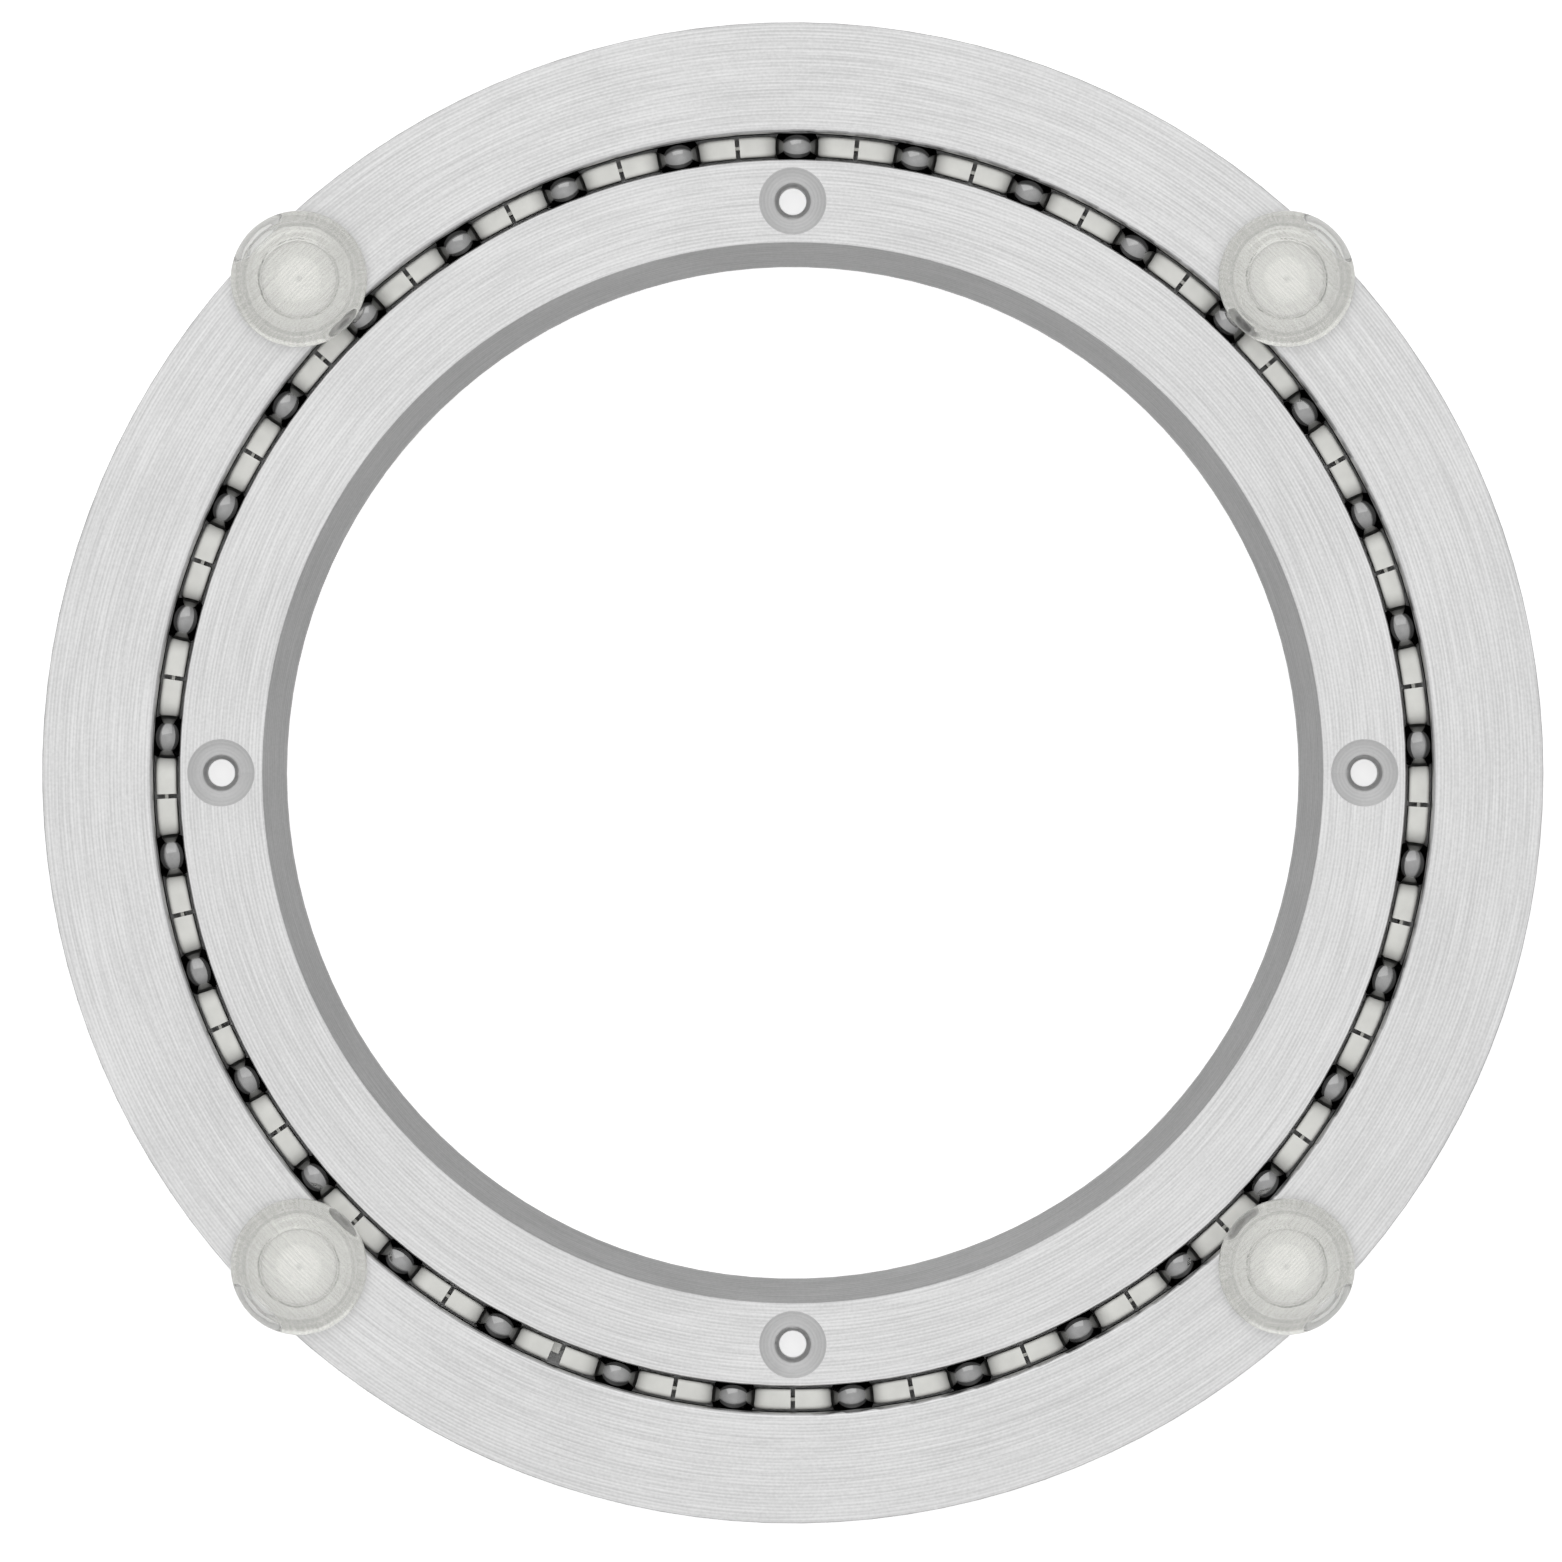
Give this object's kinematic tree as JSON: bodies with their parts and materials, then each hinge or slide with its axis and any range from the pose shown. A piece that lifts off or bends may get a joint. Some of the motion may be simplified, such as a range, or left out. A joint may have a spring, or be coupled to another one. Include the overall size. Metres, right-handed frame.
{
  "type": "lazy susan bearing",
  "caption": "Flat turntable bearing: an inner and an outer aluminium ring turn on steel balls spaced by a moulded strip, with countersunk screw holes and soft clear pads.",
  "frame": {"origin": "on the turning axis, at the flat face of the inner ring that is screwed down", "axes": "+Z along the turning axis, from the screwed-down face towards the soft pads; the screw holes lie on X and Y and the pads on the diagonals between them"},
  "size_m": [0.2, 0.2, 0.0131],
  "materials": {
    "turned_aluminium": "face-turned, satin",
    "white_nylon": "moulded, unpainted",
    "bearing_steel": "ground and polished",
    "clear_rubber": "soft, translucent"
  },
  "bodies": {
    "inner_ring": {"inner_ring": "turned_aluminium"},
    "outer_ring": {"outer_ring": "turned_aluminium", "rubber_pad_1": "clear_rubber", "rubber_pad_2": "clear_rubber", "rubber_pad_3": "clear_rubber", "rubber_pad_4": "clear_rubber"},
    "ball_retainer": {"ball_retainer": "white_nylon"},
    "steel_ball_01": {"steel_ball_01": "bearing_steel"},
    "steel_ball_02": {"steel_ball_02": "bearing_steel"},
    "steel_ball_03": {"steel_ball_03": "bearing_steel"},
    "steel_ball_04": {"steel_ball_04": "bearing_steel"},
    "steel_ball_05": {"steel_ball_05": "bearing_steel"},
    "steel_ball_06": {"steel_ball_06": "bearing_steel"},
    "steel_ball_07": {"steel_ball_07": "bearing_steel"},
    "steel_ball_08": {"steel_ball_08": "bearing_steel"},
    "steel_ball_09": {"steel_ball_09": "bearing_steel"},
    "steel_ball_10": {"steel_ball_10": "bearing_steel"},
    "steel_ball_11": {"steel_ball_11": "bearing_steel"},
    "steel_ball_12": {"steel_ball_12": "bearing_steel"},
    "steel_ball_13": {"steel_ball_13": "bearing_steel"},
    "steel_ball_14": {"steel_ball_14": "bearing_steel"},
    "steel_ball_15": {"steel_ball_15": "bearing_steel"},
    "steel_ball_16": {"steel_ball_16": "bearing_steel"},
    "steel_ball_17": {"steel_ball_17": "bearing_steel"},
    "steel_ball_18": {"steel_ball_18": "bearing_steel"},
    "steel_ball_19": {"steel_ball_19": "bearing_steel"},
    "steel_ball_20": {"steel_ball_20": "bearing_steel"},
    "steel_ball_21": {"steel_ball_21": "bearing_steel"},
    "steel_ball_22": {"steel_ball_22": "bearing_steel"},
    "steel_ball_23": {"steel_ball_23": "bearing_steel"},
    "steel_ball_24": {"steel_ball_24": "bearing_steel"},
    "steel_ball_25": {"steel_ball_25": "bearing_steel"},
    "steel_ball_26": {"steel_ball_26": "bearing_steel"},
    "steel_ball_27": {"steel_ball_27": "bearing_steel"},
    "steel_ball_28": {"steel_ball_28": "bearing_steel"},
    "steel_ball_29": {"steel_ball_29": "bearing_steel"},
    "steel_ball_30": {"steel_ball_30": "bearing_steel"},
    "steel_ball_31": {"steel_ball_31": "bearing_steel"},
    "steel_ball_32": {"steel_ball_32": "bearing_steel"},
    "steel_ball_33": {"steel_ball_33": "bearing_steel"}
  },
  "joints": [
    {"name": "ring_turn", "type": "hinge", "parent": "inner_ring", "child": "outer_ring", "pos_m": [0, 0, 0.00475], "axis": [0, 0, 1], "continuous": true},
    {"name": "retainer_turn", "type": "hinge", "parent": "inner_ring", "child": "ball_retainer", "pos_m": [0, 0, 0.00475], "axis": [0, 0, 1], "continuous": true},
    {"name": "steel_ball_01_roll", "type": "hinge", "parent": "ball_retainer", "child": "steel_ball_01", "pos_m": [-0.02348, -0.08013, 0.00475], "axis": [0, 0, 1], "continuous": true},
    {"name": "steel_ball_02_roll", "type": "hinge", "parent": "ball_retainer", "child": "steel_ball_02", "pos_m": [-0.00792, -0.08312, 0.00475], "axis": [0, 0, 1], "continuous": true},
    {"name": "steel_ball_03_roll", "type": "hinge", "parent": "ball_retainer", "child": "steel_ball_03", "pos_m": [0.00792, -0.08312, 0.00475], "axis": [0, 0, 1], "continuous": true},
    {"name": "steel_ball_04_roll", "type": "hinge", "parent": "ball_retainer", "child": "steel_ball_04", "pos_m": [0.02348, -0.08013, 0.00475], "axis": [0, 0, 1], "continuous": true},
    {"name": "steel_ball_05_roll", "type": "hinge", "parent": "ball_retainer", "child": "steel_ball_05", "pos_m": [0.03819, -0.07426, 0.00475], "axis": [0, 0, 1], "continuous": true},
    {"name": "steel_ball_06_roll", "type": "hinge", "parent": "ball_retainer", "child": "steel_ball_06", "pos_m": [0.05152, -0.06571, 0.00475], "axis": [0, 0, 1], "continuous": true},
    {"name": "steel_ball_07_roll", "type": "hinge", "parent": "ball_retainer", "child": "steel_ball_07", "pos_m": [0.06301, -0.05479, 0.00475], "axis": [0, 0, 1], "continuous": true},
    {"name": "steel_ball_08_roll", "type": "hinge", "parent": "ball_retainer", "child": "steel_ball_08", "pos_m": [0.07222, -0.04191, 0.00475], "axis": [0, 0, 1], "continuous": true},
    {"name": "steel_ball_09_roll", "type": "hinge", "parent": "ball_retainer", "child": "steel_ball_09", "pos_m": [0.07884, -0.02752, 0.00475], "axis": [0, 0, 1], "continuous": true},
    {"name": "steel_ball_10_roll", "type": "hinge", "parent": "ball_retainer", "child": "steel_ball_10", "pos_m": [0.08261, -0.01213, 0.00475], "axis": [0, 0, 1], "continuous": true},
    {"name": "steel_ball_11_roll", "type": "hinge", "parent": "ball_retainer", "child": "steel_ball_11", "pos_m": [0.08342, 0.00369, 0.00475], "axis": [0, 0, 1], "continuous": true},
    {"name": "steel_ball_12_roll", "type": "hinge", "parent": "ball_retainer", "child": "steel_ball_12", "pos_m": [0.08122, 0.01938, 0.00475], "axis": [0, 0, 1], "continuous": true},
    {"name": "steel_ball_13_roll", "type": "hinge", "parent": "ball_retainer", "child": "steel_ball_13", "pos_m": [0.0761, 0.03437, 0.00475], "axis": [0, 0, 1], "continuous": true},
    {"name": "steel_ball_14_roll", "type": "hinge", "parent": "ball_retainer", "child": "steel_ball_14", "pos_m": [0.06824, 0.04812, 0.00475], "axis": [0, 0, 1], "continuous": true},
    {"name": "steel_ball_15_roll", "type": "hinge", "parent": "ball_retainer", "child": "steel_ball_15", "pos_m": [0.05792, 0.06014, 0.00475], "axis": [0, 0, 1], "continuous": true},
    {"name": "steel_ball_16_roll", "type": "hinge", "parent": "ball_retainer", "child": "steel_ball_16", "pos_m": [0.04552, 0.07, 0.00475], "axis": [0, 0, 1], "continuous": true},
    {"name": "steel_ball_17_roll", "type": "hinge", "parent": "ball_retainer", "child": "steel_ball_17", "pos_m": [0.03148, 0.07734, 0.00475], "axis": [0, 0, 1], "continuous": true},
    {"name": "steel_ball_18_roll", "type": "hinge", "parent": "ball_retainer", "child": "steel_ball_18", "pos_m": [0.01631, 0.08189, 0.00475], "axis": [0, 0, 1], "continuous": true},
    {"name": "steel_ball_19_roll", "type": "hinge", "parent": "ball_retainer", "child": "steel_ball_19", "pos_m": [0.00055, 0.0835, 0.00475], "axis": [0, 0, 1], "continuous": true},
    {"name": "steel_ball_20_roll", "type": "hinge", "parent": "ball_retainer", "child": "steel_ball_20", "pos_m": [-0.01523, 0.0821, 0.00475], "axis": [0, 0, 1], "continuous": true},
    {"name": "steel_ball_21_roll", "type": "hinge", "parent": "ball_retainer", "child": "steel_ball_21", "pos_m": [-0.03046, 0.07775, 0.00475], "axis": [0, 0, 1], "continuous": true},
    {"name": "steel_ball_22_roll", "type": "hinge", "parent": "ball_retainer", "child": "steel_ball_22", "pos_m": [-0.0446, 0.07059, 0.00475], "axis": [0, 0, 1], "continuous": true},
    {"name": "steel_ball_23_roll", "type": "hinge", "parent": "ball_retainer", "child": "steel_ball_23", "pos_m": [-0.05712, 0.0609, 0.00475], "axis": [0, 0, 1], "continuous": true},
    {"name": "steel_ball_24_roll", "type": "hinge", "parent": "ball_retainer", "child": "steel_ball_24", "pos_m": [-0.0676, 0.04902, 0.00475], "axis": [0, 0, 1], "continuous": true},
    {"name": "steel_ball_25_roll", "type": "hinge", "parent": "ball_retainer", "child": "steel_ball_25", "pos_m": [-0.07564, 0.03537, 0.00475], "axis": [0, 0, 1], "continuous": true},
    {"name": "steel_ball_26_roll", "type": "hinge", "parent": "ball_retainer", "child": "steel_ball_26", "pos_m": [-0.08096, 0.02045, 0.00475], "axis": [0, 0, 1], "continuous": true},
    {"name": "steel_ball_27_roll", "type": "hinge", "parent": "ball_retainer", "child": "steel_ball_27", "pos_m": [-0.08336, 0.00479, 0.00475], "axis": [0, 0, 1], "continuous": true},
    {"name": "steel_ball_28_roll", "type": "hinge", "parent": "ball_retainer", "child": "steel_ball_28", "pos_m": [-0.08277, -0.01104, 0.00475], "axis": [0, 0, 1], "continuous": true},
    {"name": "steel_ball_29_roll", "type": "hinge", "parent": "ball_retainer", "child": "steel_ball_29", "pos_m": [-0.07919, -0.02647, 0.00475], "axis": [0, 0, 1], "continuous": true},
    {"name": "steel_ball_30_roll", "type": "hinge", "parent": "ball_retainer", "child": "steel_ball_30", "pos_m": [-0.07277, -0.04095, 0.00475], "axis": [0, 0, 1], "continuous": true},
    {"name": "steel_ball_31_roll", "type": "hinge", "parent": "ball_retainer", "child": "steel_ball_31", "pos_m": [-0.06372, -0.05396, 0.00475], "axis": [0, 0, 1], "continuous": true},
    {"name": "steel_ball_32_roll", "type": "hinge", "parent": "ball_retainer", "child": "steel_ball_32", "pos_m": [-0.05239, -0.06502, 0.00475], "axis": [0, 0, 1], "continuous": true},
    {"name": "steel_ball_33_roll", "type": "hinge", "parent": "ball_retainer", "child": "steel_ball_33", "pos_m": [-0.03916, -0.07375, 0.00475], "axis": [0, 0, 1], "continuous": true}
  ],
  "couplings": [
    {"joint": "retainer_turn", "follows": "ring_turn", "ratio": 0.51796},
    {"joint": "steel_ball_01_roll", "follows": "ring_turn", "ratio": 13.899},
    {"joint": "steel_ball_02_roll", "follows": "ring_turn", "ratio": 13.899},
    {"joint": "steel_ball_03_roll", "follows": "ring_turn", "ratio": 13.899},
    {"joint": "steel_ball_04_roll", "follows": "ring_turn", "ratio": 13.899},
    {"joint": "steel_ball_05_roll", "follows": "ring_turn", "ratio": 13.899},
    {"joint": "steel_ball_06_roll", "follows": "ring_turn", "ratio": 13.899},
    {"joint": "steel_ball_07_roll", "follows": "ring_turn", "ratio": 13.899},
    {"joint": "steel_ball_08_roll", "follows": "ring_turn", "ratio": 13.899},
    {"joint": "steel_ball_09_roll", "follows": "ring_turn", "ratio": 13.899},
    {"joint": "steel_ball_10_roll", "follows": "ring_turn", "ratio": 13.899},
    {"joint": "steel_ball_11_roll", "follows": "ring_turn", "ratio": 13.899},
    {"joint": "steel_ball_12_roll", "follows": "ring_turn", "ratio": 13.899},
    {"joint": "steel_ball_13_roll", "follows": "ring_turn", "ratio": 13.899},
    {"joint": "steel_ball_14_roll", "follows": "ring_turn", "ratio": 13.899},
    {"joint": "steel_ball_15_roll", "follows": "ring_turn", "ratio": 13.899},
    {"joint": "steel_ball_16_roll", "follows": "ring_turn", "ratio": 13.899},
    {"joint": "steel_ball_17_roll", "follows": "ring_turn", "ratio": 13.899},
    {"joint": "steel_ball_18_roll", "follows": "ring_turn", "ratio": 13.899},
    {"joint": "steel_ball_19_roll", "follows": "ring_turn", "ratio": 13.899},
    {"joint": "steel_ball_20_roll", "follows": "ring_turn", "ratio": 13.899},
    {"joint": "steel_ball_21_roll", "follows": "ring_turn", "ratio": 13.899},
    {"joint": "steel_ball_22_roll", "follows": "ring_turn", "ratio": 13.899},
    {"joint": "steel_ball_23_roll", "follows": "ring_turn", "ratio": 13.899},
    {"joint": "steel_ball_24_roll", "follows": "ring_turn", "ratio": 13.899},
    {"joint": "steel_ball_25_roll", "follows": "ring_turn", "ratio": 13.899},
    {"joint": "steel_ball_26_roll", "follows": "ring_turn", "ratio": 13.899},
    {"joint": "steel_ball_27_roll", "follows": "ring_turn", "ratio": 13.899},
    {"joint": "steel_ball_28_roll", "follows": "ring_turn", "ratio": 13.899},
    {"joint": "steel_ball_29_roll", "follows": "ring_turn", "ratio": 13.899},
    {"joint": "steel_ball_30_roll", "follows": "ring_turn", "ratio": 13.899},
    {"joint": "steel_ball_31_roll", "follows": "ring_turn", "ratio": 13.899},
    {"joint": "steel_ball_32_roll", "follows": "ring_turn", "ratio": 13.899},
    {"joint": "steel_ball_33_roll", "follows": "ring_turn", "ratio": 13.899}
  ]
}
